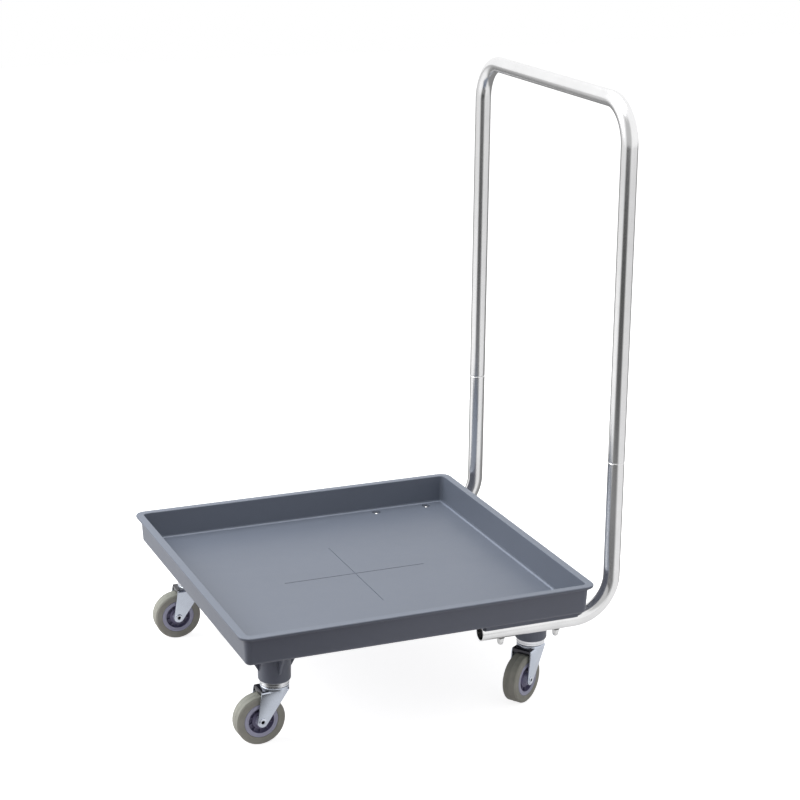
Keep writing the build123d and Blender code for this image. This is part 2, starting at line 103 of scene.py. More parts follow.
class Graph:
    """A material's node tree with short calls for the nodes that are used here."""

    def __init__(self, name):
        self.material = bpy.data.materials.new(name)
        self.material.use_nodes = True
        self.tree = self.material.node_tree
        self.tree.nodes.clear()
        self.shader = self.add("ShaderNodeBsdfPrincipled")
        out = self.add("ShaderNodeOutputMaterial")
        self.link(self.shader.outputs[0], out.inputs[0])
        self.coords = self.add("ShaderNodeTexCoord").outputs["Object"]

    def add(self, kind, **props):
        node = self.tree.nodes.new(kind)
        for key, value in props.items():
            setattr(node, key, value)
        return node

    def link(self, a, b):
        self.tree.links.new(a, b)

    def mapped(self, scale):
        """The object's own coordinates, stretched along its axes."""
        node = self.add("ShaderNodeMapping")
        node.inputs["Scale"].default_value = scale
        self.link(self.coords, node.inputs[0])
        return node.outputs[0]

    def noise(self, scale, detail, rough=0.5, coords=None):
        """Noise of 0 to 1 on the object's own coordinates, or on stretched ones."""
        node = self.add("ShaderNodeTexNoise")
        node.inputs["Scale"].default_value = scale
        node.inputs["Detail"].default_value = detail
        node.inputs["Roughness"].default_value = rough
        self.link(coords or self.coords, node.inputs["Vector"])
        return node.outputs["Fac"]

    def ramp(self, value, stops):
        """A Colour Ramp with (position, level or colour) stops."""
        node = self.add("ShaderNodeValToRGB")
        ramp = node.color_ramp
        while len(ramp.elements) < len(stops):
            ramp.elements.new(0.5)
        for element, (at, level) in zip(ramp.elements, stops):
            element.position = at
            element.color = (level, level, level, 1) if isinstance(level, (int, float)) else (*level, 1)
        self.link(value, node.inputs[0])
        return node.outputs[0]

    def math(self, kind, *values):
        return calc(self.tree, kind, *values)

    def span(self, value, low, high):
        """A value of 0 to 1 brought to low to high."""
        node = self.add("ShaderNodeMapRange")
        node.inputs["To Min"].default_value = low
        node.inputs["To Max"].default_value = high
        self.link(value, node.inputs["Value"])
        return node.outputs[0]

    def mix(self, factor, a, b):
        return blend(self.tree, factor, a, b)

    def bump(self, height, strength, distance, normal=None):
        node = self.add("ShaderNodeBump")
        node.inputs["Strength"].default_value = strength
        node.inputs["Distance"].default_value = distance
        self.link(height, node.inputs["Height"])
        if normal is not None:
            self.link(normal, node.inputs["Normal"])
        return node.outputs[0]

    def axes(self):
        """X, Y and Z of the object's own coordinates, in metres."""
        node = self.add("ShaderNodeSeparateXYZ")
        self.link(self.coords, node.inputs[0])
        return node.outputs

    def reach(self, a, b):
        """Length of the flat vector (a, b)."""
        return self.math("SQRT", self.math("ADD", self.math("MULTIPLY", a, a), self.math("MULTIPLY", b, b)))

    def band(self, value, low, high, soft):
        """1 between two levels in metres, with soft ends."""
        rise = self.step(value, low, soft)
        return self.math("MULTIPLY", rise, self.math("SUBTRACT", 1.0, self.step(value, high, soft)))

    def step(self, value, at, soft):
        """0 below a level in metres, 1 above it."""
        return smooth(self.tree, value, at - soft / 2, at + soft / 2)

    def set(self, name, value):
        """Give one of the shader's inputs a number, a colour or a socket."""
        socket = self.shader.inputs[name]
        if isinstance(value, (int, float)):
            socket.default_value = value
        elif isinstance(value, tuple):
            socket.default_value = (*value, 1)
        else:
            self.link(value, socket)


def srgb(*levels):
    """Linear colour from 0-255 screen levels."""
    out = []
    for level in levels:
        c = level / 255
        out.append(c / 12.92 if c <= 0.04045 else ((c + 0.055) / 1.055) ** 2.4)
    return tuple(out)


def scaled(colour, k):
    """The colour k times as bright, up to white."""
    return tuple(min(c * k, 1.0) for c in colour)


# ------------------------------------------------------------------ materials
# Where the layers lie, in metres, in each piece's own coordinates.
TRAY_MIDDLE_Y = -0.02625
# Painted highlight: a thin lighter line along the crease between the tray's walls and floor.
CREASE_HIGHLIGHT_ACROSS = (0.2583, 0.2609)
CREASE_HIGHLIGHT_LEVEL = (0.1520, 0.1560)
CREASE_HIGHLIGHT_BRIGHT = 1.75
# Painted highlight: the tray's rim top is painted lighter above this level, patchy with noise.
RIM_HIGHLIGHT_LEVEL = 0.1948
RIM_HIGHLIGHT_BRIGHT = 1.16
# Radii of the wheel core's hollow, which holds painted shade.
CORE_HOLLOW_R = (0.0088, 0.0197)
# Painted reflection on the fork: the crown and lip inside these bounds are painted dark.
CROWN_DARK_HALF_WIDTH = 0.0158
CROWN_DARK_LEVEL = 0.0745
CROWN_DARK_INNER_R = 0.0214
# Radius of the rivet's bore, painted near black as painted shade.
RIVET_BORE_R = 0.00245


def moulded_plastic(name, colour, rough, scuff=0.12, layer=None):
    """Moulded polypropylene: fine grain, slow flow marks, light rubbed places; layer tints it by place."""
    g = Graph(name)
    flow = g.noise(5.0, 4.0, 0.55, g.mapped((1, 0.35, 1)))
    cloud = g.noise(40.0, 3.0)
    tone = g.mix(g.ramp(flow, ((0.3, 0.0), (0.7, 1.0))), scaled(colour, 0.955), scaled(colour, 1.035))
    tone = g.mix(g.ramp(cloud, ((0.35, 0.0), (0.75, 0.25))), tone, scaled(colour, 1.06))
    rub = g.ramp(g.noise(170.0, 6.0, 0.7, g.mapped((1, 0.12, 1))), ((0.62, 0.0), (0.74, 1.0)))
    rub = g.math("MULTIPLY", rub, g.ramp(g.noise(7.0, 2.0), ((0.45, 0.0), (0.7, scuff))))
    tone = g.mix(rub, tone, scaled(colour, 1.5))
    g.set("Base Color", layer(g, tone, cloud) if layer else tone)
    g.set("Roughness", g.math("ADD", g.span(cloud, rough - 0.05, rough + 0.05),
                              g.math("MULTIPLY", rub, 0.6)))
    g.set("IOR", 1.49)
    grain = g.noise(2600.0, 2.0)
    pebble = g.noise(900.0, 3.0)
    g.set("Normal", g.bump(grain, 0.10, 0.0002, g.bump(pebble, 0.05, 0.0004)))
    return g.material


def tray_layer(g, tone, cloud):
    """Painted highlights: a thin lighter line along the crease round the floor, and a lighter, patchy rim
    top.
    """
    x, y, z = g.axes()
    side = g.math("MAXIMUM", g.math("ABSOLUTE", x), g.math("ABSOLUTE", g.math("SUBTRACT", y, TRAY_MIDDLE_Y)))
    cove = g.math("MULTIPLY", g.band(side, *CREASE_HIGHLIGHT_ACROSS, 0.0008), g.band(z, *CREASE_HIGHLIGHT_LEVEL, 0.0005))
    # painted highlight along the crease, patchy with noise
    dust_and_highlight = g.math("MULTIPLY", cove, g.span(cloud, 0.65, 1.0))
    # painted highlight on the rim's top
    rim_highlight = g.math("MULTIPLY", g.step(z, RIM_HIGHLIGHT_LEVEL, 0.0010), g.span(cloud, 0.5, 1.0))
    tone = g.mix(dust_and_highlight, tone, scaled(TRAY_GREY, CREASE_HIGHLIGHT_BRIGHT))
    return g.mix(rim_highlight, tone, scaled(TRAY_GREY, RIM_HIGHLIGHT_BRIGHT))


def core_layer(g, tone, cloud):
    """Painted shade: the web and ribs in the hollow are painted darker and bluer than the pale face ring."""
    x, y, _ = g.axes()
    hollow = g.band(g.reach(x, y), *CORE_HOLLOW_R, 0.0006)
    # painted shade in the hollow
    return g.mix(g.math("MULTIPLY", hollow, g.span(cloud, 0.8, 1.0)), tone, CORE_HOLLOW_SHADE)


def fork_layer(g, tone):
    """Painted reflection: the crown and the front lip, round the ball race, are painted dark where they
    mirror the unlit side of the studio.
    """
    x, y, z = g.axes()
    between = g.math("SUBTRACT", 1.0, g.step(g.math("ABSOLUTE", x), CROWN_DARK_HALF_WIDTH, 0.0010))
    above = g.step(z, CROWN_DARK_LEVEL, 0.0010)
    outside = g.step(g.reach(x, y), CROWN_DARK_INNER_R, 0.0006)
    # painted dark reflection on the crown and lip
    dark_reflection = g.math("MULTIPLY", g.math("MULTIPLY", between, above), outside)
    return g.mix(dark_reflection, tone, CROWN_PAINTED_REFLECTION), dark_reflection


def rivet_layer(g, tone):
    """Painted shade: the rivet's bore is painted near black."""
    x, y, _ = g.axes()
    bore = g.math("SUBTRACT", 1.0, g.step(g.reach(x, y), RIVET_BORE_R, 0.0002))
    # painted shade in the bore
    return g.mix(bore, tone, BORE_PAINTED_SHADE), bore


def bright_metal(name, colour, rough, brushed=0.0, tint=None, haze=0.03, layer=None, layer_rough=0.0):
    """Plated or polished metal with faint wiping marks and a little haze.

    layer tints it by place, and layer_rough is the roughness that it adds there.
    """
    g = Graph(name)
    haze_map = g.noise(28.0, 4.0, 0.6)
    marks = g.noise(420.0, 5.0, 0.65, g.mapped((1, 1, 0.08)))
    tone = g.mix(g.ramp(haze_map, ((0.35, 0.0), (0.7, 1.0))), colour, tint or scaled(colour, 0.94))
    tone, place = layer(g, tone) if layer else (tone, None)
    g.set("Base Color", tone)
    g.set("Metallic", 1.0)
    roughness = g.math("ADD", g.span(haze_map, rough - haze, rough + haze),
                       g.math("MULTIPLY", g.ramp(marks, ((0.55, 0.0), (0.75, 1.0))), haze))
    if place is not None:
        roughness = g.math("ADD", roughness, g.math("MULTIPLY", place, layer_rough))
    g.set("Roughness", roughness)
    g.set("Normal", g.bump(marks, 0.04 + brushed, 0.0001))
    return g.material


def rubber(name, colour):
    """Grey rolling rubber: matt, a little dusty, fine pores."""
    g = Graph(name)
    dust_and_highlight = g.noise(60.0, 5.0, 0.65)
    pores = g.noise(1500.0, 3.0)
    tone = g.mix(g.ramp(dust_and_highlight, ((0.35, 0.0), (0.75, 1.0))), scaled(colour, 0.92), scaled(colour, 1.13))
    tone = g.mix(g.ramp(pores, ((0.6, 0.0), (0.8, 0.35))), tone, scaled(colour, 0.7))
    g.set("Base Color", tone)
    g.set("Roughness", g.span(dust_and_highlight, 0.52, 0.72))
    g.set("IOR", 1.47)
    g.set("Normal", g.bump(pores, 0.22, 0.0002, g.bump(dust_and_highlight, 0.08, 0.0006)))
    return g.material


TRAY_GREY = srgb(104, 111, 124)
# Painted shade: darker, bluer colour for the wheel core's hollow.
CORE_HOLLOW_SHADE = srgb(106, 103, 134)
# Painted reflection: near black for the fork's crown and lip.
CROWN_PAINTED_REFLECTION = (0.07, 0.07, 0.08)
# Painted shade: near black for the rivet's bore.
BORE_PAINTED_SHADE = (0.02, 0.02, 0.02)
PLASTIC = moulded_plastic("tray_polypropylene", TRAY_GREY, 0.40, layer=tray_layer)
CHROME = bright_metal("handle_chrome_plate", (0.90, 0.90, 0.905), 0.20, haze=0.02)
DARK_STEEL = bright_metal("drawn_steel", (0.46, 0.46, 0.47), 0.30, 0.05)
STAINLESS = bright_metal("stainless_fastener", (0.80, 0.80, 0.80), 0.16)
BRASS = bright_metal("insert_brass_metal", (0.72, 0.55, 0.28), 0.28)
ZINC = bright_metal("zinc_plate", (0.72, 0.76, 0.84), 0.20, 0.03, (0.66, 0.69, 0.77),
                    layer=rivet_layer, layer_rough=0.5)
# The fork's painted dark reflection is also made less rough.
FORK = bright_metal("fork_zinc_plate", (0.66, 0.71, 0.80), 0.22, 0.04, (0.60, 0.64, 0.73),
                    layer=fork_layer, layer_rough=-0.10)
RACE = bright_metal("race_chrome_plate", (0.80, 0.81, 0.84), 0.07)
BALLS = bright_metal("ball_chrome_steel", (0.70, 0.70, 0.71), 0.08)
CORE = moulded_plastic("core_polypropylene", srgb(184, 188, 210), 0.42, 0.05, core_layer)
TYRE = rubber("tyre_grey_rubber", srgb(166, 168, 158))

SLOT_MATERIAL = {
    "tray_plastic": PLASTIC, "handle_chrome": CHROME, "inner_steel": DARK_STEEL,
    "fastener_steel": STAINLESS, "insert_brass": BRASS, "zinc": ZINC, "fork_zinc": FORK,
    "race_chrome": RACE, "ball_steel": BALLS, "core_plastic": CORE, "tyre_rubber": TYRE,
}
for part in frame["record"]["subparts"]:
    data = nodes[part["node"]].data
    data.materials.clear()
    data.materials.append(SLOT_MATERIAL[part["material_slot"]])


# ------------------------------------------------------------------ mesh helpers, in millimetres
# Edges that turn by more than this, in degrees, stay sharp.
SHARP = 32
TUBE_SHARP = 50
NUT_SHARP = 24
FORK_SHARP = 34


def around(r, turn, z):
    """The point at a radius, an angle round Z and a height."""
    return Vector((r * math.cos(turn), r * math.sin(turn), z))


def in_metres(place):
    """The same place with its position in metres."""
    spot = place.copy()
    spot.translation = spot.translation * MM
    return spot


def soft_line(points, steps=4):
    """A closed outline from (x, y, radius) points, with an arc at each point that has a radius."""
    out = []
    count = len(points)
    for i, (x, y, radius) in enumerate(points):
        corner = Vector((x, y))
        if radius <= 0:
            out.append((x, y))
            continue
        before = (Vector(points[i - 1][:2]) - corner).normalized()
        after = (Vector(points[(i + 1) % count][:2]) - corner).normalized()
        half = before.angle(after) / 2
        centre = corner + (before + after).normalized() * (radius / math.sin(half))
        start = corner + before * (radius / math.tan(half)) - centre
        end = corner + after * (radius / math.tan(half)) - centre
        turn = math.atan2(start.x * end.y - start.y * end.x, start.dot(end))
        for k in range(steps + 1):
            a = turn * k / steps
            out.append((centre.x + start.x * math.cos(a) - start.y * math.sin(a),
                        centre.y + start.x * math.sin(a) + start.y * math.cos(a)))
    return out


def both_sides(points):
    """An outline of (radius, height) points that is the same above and below height 0."""
    return points + [(r, -h, *rest) for r, h, *rest in reversed(points)]


def ring_faces(bm, rings, closed):
    """Faces between neighbouring rings of vertices, and from the last to the first where closed."""
    count = len(rings)
    for k in range(count if closed else count - 1):
        one, two = rings[k], rings[(k + 1) % count]
        for i in range(len(one)):
            j = (i + 1) % len(one)
            bm.faces.new((one[i], one[j], two[j], two[i]))


def lathe(bm, outline, steps=96, place=None):
    """A turned solid round Z from a closed outline of (radius, height) points."""
    place = place or Matrix.Identity(4)
    rings = []
    for k in range(steps):
        a = 2 * math.pi * k / steps
        rings.append([bm.verts.new(place @ around(r, a, h)) for r, h in outline])
    ring_faces(bm, rings, True)


def bar(bm, path, binormal, rings_at, sides=72):
    """A bent tube along (centre, direction) pairs, with rings at (path index, shift, radius) in order."""
    rings = []
    binormal = Vector(binormal)
    for index, shift, radius in rings_at:
        centre, along = path[index]
        normal = binormal.cross(along)
        middle = centre + along * shift
        ring = []
        for k in range(sides):
            a = 2 * math.pi * (k + 0.5) / sides
            ring.append(bm.verts.new(middle + (binormal * math.cos(a) + normal * math.sin(a)) * radius))
        rings.append(ring)
    ring_faces(bm, rings, True)


def build(name, bm, body, slot, place=None, sharp=SHARP):
    """Finish a mesh that was made in millimetres and make it ride on a body."""
    bmesh.ops.remove_doubles(bm, verts=bm.verts, dist=0.0005)
    bmesh.ops.recalc_face_normals(bm, faces=bm.faces)
    mesh = bpy.data.meshes.new(name)
    bm.to_mesh(mesh)
    bm.free()
    mesh.transform(Matrix.Scale(MM, 4))
    mesh.shade_smooth()
    mesh.set_sharp_from_angle(angle=math.radians(sharp))
    mesh.materials.append(SLOT_MATERIAL[slot])
    obj = bpy.data.objects.new(name, mesh)
    scene.collection.objects.link(obj)
    if place is not None:
        obj.matrix_world = in_metres(place)
    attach(obj, body)
    return obj


def drill(obj, radius, length, place, sharp):
    """Cut a round hole through a piece, along Z of place."""
    bm = bmesh.new()
    bmesh.ops.create_cone(bm, cap_ends=True, segments=48, radius1=radius * MM, radius2=radius * MM,
                          depth=length * MM)
    mesh = bpy.data.meshes.new("drill")
    bm.to_mesh(mesh)
    bm.free()
    tool = bpy.data.objects.new("drill", mesh)
    scene.collection.objects.link(tool)
    tool.matrix_world = in_metres(place)
    cut = obj.modifiers.new("hole", "BOOLEAN")
    cut.operation = "DIFFERENCE"
    cut.solver = "EXACT"
    cut.object = tool
    ready = obj.evaluated_get(bpy.context.evaluated_depsgraph_get())
    cut_mesh = bpy.data.meshes.new_from_object(ready)
    obj.modifiers.clear()
    obj.data = cut_mesh
    cut_mesh.set_sharp_from_angle(angle=math.radians(sharp))
    bpy.data.objects.remove(tool)


# ------------------------------------------------------------------ sizes in millimetres, as in the CAD model
TUBE_R = 12.5
TUBE_BORE_R = 11.0
BEND_R = 62.5
HANDLE_X = 248.0
HANDLE_Y = 293.75
TOP_Z = 911.5
JOINT_Z = 377.0
LOWER_Z = 135.1
MOUTH_Y = 75.45
JOINT_R = 1.2
MOUTH_R = 0.35
END_FLAT = 1.0
END_ARCS = 5
BEND_STEPS = 24
BOLT_YS = (109.75, 201.75)
HEAD_R = 5.25
HEAD_SEAT_Z = 150.2
HEAD_H = 2.0
HEAD_STEPS = 10
SHANK_R = 3.0
NUT_SEAT_Z = 121.0
SHANK_END_Z = NUT_SEAT_Z - 6
NUT_FLAT = 5.0
NUT_FACE_R = 4.75
NUT_CHAMFER = 0.45
NUT_HEX_H = 5.5
NUT_DOME_R = 4.6
NUT_DOME_STEPS = 9
WASHER_R = 6.25
WASHER_T = 1.6
WASHER_BORE_R = 3.1
WASHER_EDGE_R = 0.35
TRAIL = 25.0
AXLE_Z = 37.5
AXLE_BORE_R = 4.0
AXLE_DRILL = 60.0
AXLE_TURN = Matrix.Translation((0, TRAIL, AXLE_Z)) @ Matrix.Rotation(math.pi / 2, 4, "Y")


# ------------------------------------------------------------------ handle tubes
def bend(start, along, out_along):
    """Centre line points of one bend that starts at start and turns from along to out_along."""
    centre = start + out_along * BEND_R
    points = []
    for k in range(BEND_STEPS + 1):
        a = math.pi / 2 * k / BEND_STEPS
        points.append((centre - out_along * BEND_R * math.cos(a) + along * BEND_R * math.sin(a),
                       (along * math.cos(a) + out_along * math.sin(a)).normalized()))
    return points


def straight(start, end, count):
    """Points along a straight run, both ends in."""
    along = (end - start).normalized()
    return [(start.lerp(end, k / count), along) for k in range(count + 1)]


def rounded_end(index, radius, inward):
    """Rings of a tube's rounded end, straight wall to mouth; inward is 1 or -1 along the path."""
    rings = [(index, inward * (radius + END_FLAT), TUBE_R)]
    for k in range(END_ARCS + 1):
        a = math.pi / 2 * k / END_ARCS
        rings.append((index, inward * radius * (1 - math.sin(a)), TUBE_R - radius * (1 - math.cos(a))))
    return rings


def pipe(name, path, binormal, first_r, last_r):
    """A tube with a bore and rounded ends along a centre line."""
    last = len(path) - 1
    rings = rounded_end(0, first_r, 1)[::-1]
    rings += [(k, 0, TUBE_R) for k in range(1, last)]
    rings += rounded_end(last, last_r, -1)
    rings += [(k, 0, TUBE_BORE_R) for k in range(last, -1, -1)]
    bm = bmesh.new()
    bar(bm, path, binormal, rings)
    return build(name, bm, "cart", "handle_chrome", sharp=TUBE_SHARP)


def handle_pieces():
    """The upper U from its left foot to its right one, and the two lower legs from mouth to joint."""
    up, down = Vector((0, 0, 1)), Vector((0, 0, -1))
    left, right = Vector((-1, 0, 0)), Vector((1, 0, 0))
    back = Vector((0, 1, 0))
    foot = Vector((HANDLE_X, HANDLE_Y, JOINT_Z))
    knee = Vector((HANDLE_X, HANDLE_Y, TOP_Z - BEND_R))
    path = straight(foot, knee, 6)[:-1] + bend(knee, up, left)
    over = Vector((-HANDLE_X + BEND_R, HANDLE_Y, TOP_Z))
    path += straight(path[-1][0], over, 5)[1:-1] + bend(over, left, down)
    path += straight(path[-1][0], Vector((-HANDLE_X, HANDLE_Y, JOINT_Z)), 6)[1:]
    upper = pipe("handle_bar", path, (0, 1, 0), JOINT_R, JOINT_R)
    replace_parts(upper, "handle_upper")
    for side, x in (("left", HANDLE_X), ("right", -HANDLE_X)):
        mouth = Vector((x, MOUTH_Y, LOWER_Z))
        turn = Vector((x, HANDLE_Y - BEND_R, LOWER_Z))
        path = straight(mouth, turn, 4)[:-1] + bend(turn, back, up)
        path += straight(path[-1][0], Vector((x, HANDLE_Y, JOINT_Z)), 4)[1:]
        lower = pipe("handle_leg_" + side, path, (1, 0, 0), MOUTH_R, JOINT_R)
        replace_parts(lower, "handle_lower_" + side)


# ------------------------------------------------------------------ handle fasteners
def bolt_places():
    """The axes of the four bolts, in the cart's frame."""
    return [Matrix.Translation((x, y, 0)) for x in (HANDLE_X, -HANDLE_X) for y in BOLT_YS]


def hexagon_nut(bm, place, steps=72):
    """Cap nut: chamfered hexagon under a turned dome, seat at NUT_SEAT_Z, dome downwards."""
    base = NUT_SEAT_Z - NUT_HEX_H
    corner = NUT_FLAT / math.cos(math.pi / 6)
    levels = [(0.0, SHANK_R), (0.0, NUT_FACE_R), (NUT_CHAMFER, corner), (1.0, corner),
              (NUT_HEX_H - 1.1, corner), (NUT_HEX_H - NUT_CHAMFER, NUT_FLAT + 0.1),
              (NUT_HEX_H, NUT_DOME_R + 0.1)]
    rings = []
    for depth, limit in levels:
        rings.append([])
        for k in range(steps):
            a = 2 * math.pi * k / steps
            flat = NUT_FLAT / math.cos((a + math.pi / 6) % (math.pi / 3) - math.pi / 6)
            rings[-1].append(bm.verts.new(place @ around(min(flat, limit), a, NUT_SEAT_Z - depth)))
    for j in range(NUT_DOME_STEPS):
        a = math.pi / 2 * j / NUT_DOME_STEPS
        r, z = NUT_DOME_R * math.cos(a), base - NUT_DOME_R * math.sin(a)
        rings.append([bm.verts.new(place @ around(r, 2 * math.pi * k / steps, z)) for k in range(steps)])
    ring_faces(bm, rings, False)
    bm.faces.new(rings[-1])
    bm.faces.new(rings[0])


def fastener_pieces():
    """Bolts with low domed heads, flat washers and cap nuts, four of each in one piece."""
    bolts, washers, nuts = bmesh.new(), bmesh.new(), bmesh.new()
    top = HEAD_SEAT_Z + HEAD_H
    cap_r = (HEAD_R ** 2 + HEAD_H ** 2) / (2 * HEAD_H)
    edge = math.asin(HEAD_R / cap_r)
    angles = [edge * k / HEAD_STEPS for k in range(HEAD_STEPS + 1)]
    dome = [(cap_r * math.sin(a), top - cap_r * (1 - math.cos(a))) for a in angles]
    head = [(0.0, top)] + dome[1:] + [(SHANK_R, HEAD_SEAT_Z), (SHANK_R, SHANK_END_Z), (0.0, SHANK_END_Z)]
    washer_top = NUT_SEAT_Z + WASHER_T
    disc = soft_line([(WASHER_BORE_R, NUT_SEAT_Z, 0), (WASHER_R, NUT_SEAT_Z, WASHER_EDGE_R),
                      (WASHER_R, washer_top, WASHER_EDGE_R), (WASHER_BORE_R, washer_top, 0)])
    for place in bolt_places():
        lathe(bolts, head, 40, place)
        lathe(washers, disc, 48, place)
        hexagon_nut(nuts, place)
    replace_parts(build("bolt_heads", bolts, "cart", "fastener_steel"), "handle_bolts")
    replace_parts(build("flat_washers", washers, "cart", "fastener_steel"), "handle_washers")
    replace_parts(build("cap_nuts", nuts, "cart", "fastener_steel", sharp=NUT_SHARP), "handle_nuts")


# ------------------------------------------------------------------ casters
def caster_place(name):
    """The caster's own frame: swivel axis on Z, wheel towards +Y, axle along X."""
    joints = {j["name"]: j for j in frame["record"]["behaviour"]["joints"]}
    x, y, _ = joints[name + "_swivel_turn"]["pos_m"]
    along = joints[name + "_wheel_roll"]["axis"]
    turn = math.pi + math.atan2(along[1], along[0])
    return Matrix.Translation((x / MM, y / MM, 0)) @ Matrix.Rotation(turn, 4, "Z")


# Outlines as (radius, height, corner radius); those of the wheel give the half above its middle.
TYRE_SIDE = [
    (26.0, 10.7, 0), (26.5, 11.5, 0.25), (28.0, 11.75, 0.5), (31.6, 11.58, 3.0), (34.9, 11.75, 1.2),
    (37.18, 10.1, 1.3), (37.36, 9.5, 0), (37.5, 9.35, 0), (37.5, 8.95, 0), (37.38, 8.8, 0),
    (37.38, 0.5, 0), (37.5, 0.3, 0),
]
CORE_SIDE = [
    (6.06, 14.5, 0), (8.66, 14.5, 0.5), (8.66, 9.1, 0.3), (9.4, 8.7, 0.3), (13.2, 8.5, 0.6), (13.7, 4.3, 0.7),
    (18.8, 4.3, 0.8), (19.5, 11.1, 0.5), (22.4, 11.3, 0.15), (22.7, 11.68, 0.15), (25.3, 11.68, 0.3),
    (26.0, 10.7, 0),
]
AXLE_SIDE = [
    (0.0, 9.0, 0), (2.3, 9.3, 0), (2.3, 17.8, 0.4), (3.1, 18.8, 0.5), (4.7, 18.9, 0.6), (6.0, 18.35, 0.35),
    (6.0, 17.5, 0), (4.0, 17.5, 0),
]
RACE_RING = [
    (6.0, 96.0, 0), (21.1, 96.0, 0), (21.6, 96.0, 0.3), (21.6, 95.55, 0), (21.6, 92.75, 0),
    (21.6, 92.5, 0.15), (21.1, 92.25, 0.15), (21.1, 91.65, 0.15), (21.6, 91.4, 0.15), (21.6, 91.15, 0),
    (21.6, 89.55, 0), (21.6, 89.2, 0.25), (19.7, 89.2, 0.25), (19.6, 93.0, 0.6), (6.0, 93.6, 0),
]
RIBS = 10
RIB_ENDS = ((13.3, 7.6), (19.0, 8.0))
RIB_FOOT = (4.0, 0.95)
RIB_TOP_HALF = 0.65


def wheel_rib(bm, turn):
    """One tapered rib of the wheel core, both sides of the web, in the wheel's own frame."""
    spin = Matrix.Rotation(turn, 4, "Z")
    for side in (1, -1):
        corners = []
        for r, top in RIB_ENDS:
            for h, half in (RIB_FOOT, (top, RIB_TOP_HALF)):
                corners += [spin @ Vector((r, half, side * h)), spin @ Vector((r, -half, side * h))]
        v = [bm.verts.new(c) for c in corners]
        for quad in ((0, 1, 3, 2), (4, 6, 7, 5), (0, 2, 6, 4), (1, 5, 7, 3), (2, 3, 7, 6), (0, 4, 5, 1)):
            bm.faces.new([v[i] for i in quad])


FORK_END_R = 8.0
FORK_TOP_Z = 84.3
FORK_T = 2.5
LEG_INNER = 15.0
LEG_OUTER = LEG_INNER + FORK_T
FORK_FRONT = 26.0
FORK_HEEL = -17.0
FORK_BEND = 3.5
FORK_BEND_STEPS = 7
FORK_EDGE = 0.6
TIP_ARC = 0.62
TIP_STEPS = 14
TIP_FLAT = 0.03
LEG_STEPS = 8
CROWN_XS = (13.0, 5.0, -5.0, -13.0)
LIP_ROOT_Y = 19.0
LIP_ROOT_Z = 81.82
LIP_Z = 76.5
LIP_BACK_Z = 81.0
LIP_BEND = 3.0
LIP_EDGE = 0.8
LIP_SINK = 0.02
LIP_SIDE = 0.05
DOME_R = 21.4
DOME_Z = 88.3
DOME_EYE_R = 6.1
DOME_EYE_SINK = 0.3
DOME_FLAT_R = 9.0
DOME_STEPS = 96
SKIRT_REAR_Z = 79.0
SKIRT_FRONT_Z = 82.2
SKIRT_SLOPE = 3.0


def tangent_point(corner, side):
    """Where the leg's edge from a crown corner meets the round end at the axle, in (y, z)."""
    centre = Vector((TRAIL, AXLE_Z))
    gap = centre - corner
    lean = math.asin(FORK_END_R / gap.length)
    along = math.atan2(gap.y, gap.x) + side * lean
    return corner + Vector((math.cos(along), math.sin(along))) * gap.length * math.cos(lean)


def edge_y(z, corner, side):
    """The leg's front (side 1) or rear (side -1) edge at a height; its tip keeps a little width."""
    low = tangent_point(corner, side)
    if z > low.y:
        return low.x + (corner.x - low.x) * (z - low.y) / (corner.y - low.y)
    return TRAIL + side * math.sqrt(max(FORK_END_R ** 2 - (z - AXLE_Z) ** 2, 0.01))


def section(middle, outward, rear, front):
    """Ring of points round the fork's sheet: a thin rectangle with soft corners."""
    r = min(FORK_EDGE, (front - rear) * 0.45)
    half = FORK_T / 2
    outline = soft_line([(rear, -half, r), (front, -half, r), (front, half, r), (rear, half, r)], 3)
    return [Vector((middle.x + outward.x * t, y, middle.y + outward.y * t)) for y, t in outline]


def fork_sheet(bm):
    """The fork's bent sheet: up one leg, over the crown and down the other."""
    front, heel = Vector((FORK_FRONT, FORK_TOP_Z)), Vector((FORK_HEEL, FORK_TOP_Z))
    bend_z = FORK_TOP_Z - FORK_BEND
    tip = AXLE_Z - FORK_END_R
    turns = [math.pi * TIP_ARC * k / TIP_STEPS for k in range(1, TIP_STEPS + 1)]
    leg = [tip + TIP_FLAT] + [AXLE_Z - FORK_END_R * math.cos(a) for a in turns]
    leg += [leg[-1] + (bend_z - leg[-1]) * k / LEG_STEPS for k in range(1, LEG_STEPS + 1)]
    side = [(Vector((LEG_OUTER - FORK_T / 2, z)), Vector((1, 0)), edge_y(z, heel, -1), edge_y(z, front, 1))
            for z in leg]
    for k in range(1, FORK_BEND_STEPS + 1):
        a = math.pi / 2 * k / FORK_BEND_STEPS
        outward = Vector((math.cos(a), math.sin(a)))
        middle = Vector((LEG_OUTER - FORK_BEND, bend_z)) + outward * (FORK_BEND - FORK_T / 2)
        z = min(bend_z + FORK_BEND * math.sin(a), FORK_TOP_Z)
        side.append((middle, outward, edge_y(z, heel, -1), edge_y(z, front, 1)))
    crown_z = FORK_TOP_Z - FORK_T / 2
    crown = [(Vector((x, crown_z)), Vector((0, 1)), FORK_HEEL, FORK_FRONT - FORK_T) for x in CROWN_XS]
    other = [(Vector((-m.x, m.y)), Vector((-o.x, o.y)), a, b) for m, o, a, b in reversed(side)]
    rings = [[bm.verts.new(p) for p in section(*one)] for one in side + crown + other]
    ring_faces(bm, rings, False)
    bm.faces.new(rings[0])
    bm.faces.new(rings[-1])


